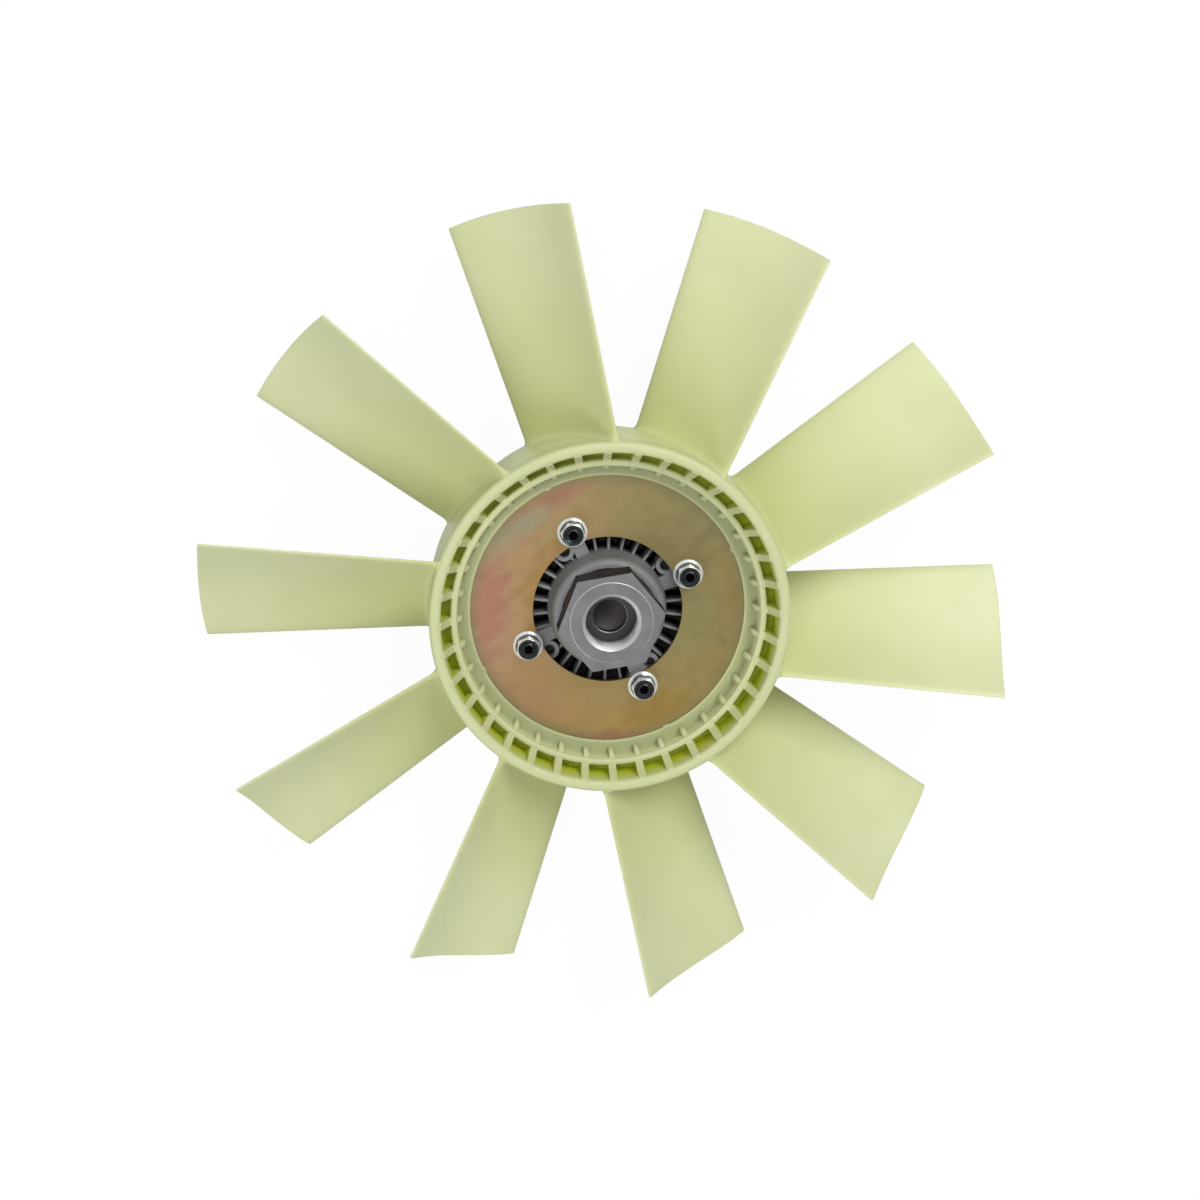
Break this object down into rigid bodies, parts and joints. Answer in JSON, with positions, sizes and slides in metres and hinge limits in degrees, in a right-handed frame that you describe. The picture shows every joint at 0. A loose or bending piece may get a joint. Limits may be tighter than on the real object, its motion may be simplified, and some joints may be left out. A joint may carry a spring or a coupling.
{
  "type": "cooling fan with viscous clutch",
  "caption": "Pale nylon cooling fan with twisted blades on a ribbed drum, bolted to a finned viscous clutch with a threaded hexagon hub.",
  "frame": {"origin": "centre of the hub's turned seat face, on the axis of rotation, at the mouth of the threaded bore", "axes": "+Z along the axis of rotation, out of the threaded bore towards the engine; +Y is up in the picture"},
  "size_m": [0.48, 0.4778, 0.0959],
  "materials": {
    "nylon": "satin natural nylon, slightly translucent",
    "passivated_steel": "yellow passivated zinc plate",
    "black_steel": "black oxide, satin",
    "zinc_steel": "bright zinc plate",
    "cast_aluminium": "as cast, fine grain",
    "turned_steel": "turned, oiled",
    "bearing_steel": "ground",
    "cage_nylon": "satin",
    "red_rubber": "matt",
    "black_rubber": "matt",
    "bimetal": "rolled strip"
  },
  "bodies": {
    "fan_and_clutch": {"fan": "nylon", "mounting_disc": "passivated_steel", "disc_studs": "black_steel", "flange_nuts": "zinc_steel", "clutch_housing": "cast_aluminium", "front_cover": "cast_aluminium", "cover_seal": "black_rubber", "cover_screws": "zinc_steel", "bearing_outer_ring": "bearing_steel", "bearing_front_seal": "red_rubber", "bearing_rear_seal": "red_rubber", "separator_plate": "zinc_steel", "plate_rivets": "zinc_steel", "bimetal_coil": "bimetal", "coil_bracket": "zinc_steel", "bracket_screw": "zinc_steel"},
    "shaft": {"drive_shaft": "turned_steel", "bearing_inner_ring": "bearing_steel", "rotor_disc": "cast_aluminium"},
    "rollers": {"bearing_rollers": "bearing_steel", "bearing_cage": "cage_nylon"},
    "valve": {"valve_spindle": "turned_steel", "valve_lever": "zinc_steel", "spindle_seal": "black_rubber"}
  },
  "joints": [
    {"name": "shaft_spin", "type": "hinge", "parent": "fan_and_clutch", "child": "shaft", "pos_m": [0, 0, -0.0305], "axis": [0, 0, 1], "continuous": true},
    {"name": "roller_travel", "type": "hinge", "parent": "fan_and_clutch", "child": "rollers", "pos_m": [0, 0, -0.0305], "axis": [0, 0, 1], "continuous": true},
    {"name": "valve_turn", "type": "hinge", "parent": "fan_and_clutch", "child": "valve", "pos_m": [0, 0, -0.08], "axis": [0, 0, 1], "range_deg": [0, 35], "deforming": ["bimetal_coil"]}
  ],
  "couplings": [
    {"joint": "roller_travel", "follows": "shaft_spin", "ratio": 0.4309}
  ]
}
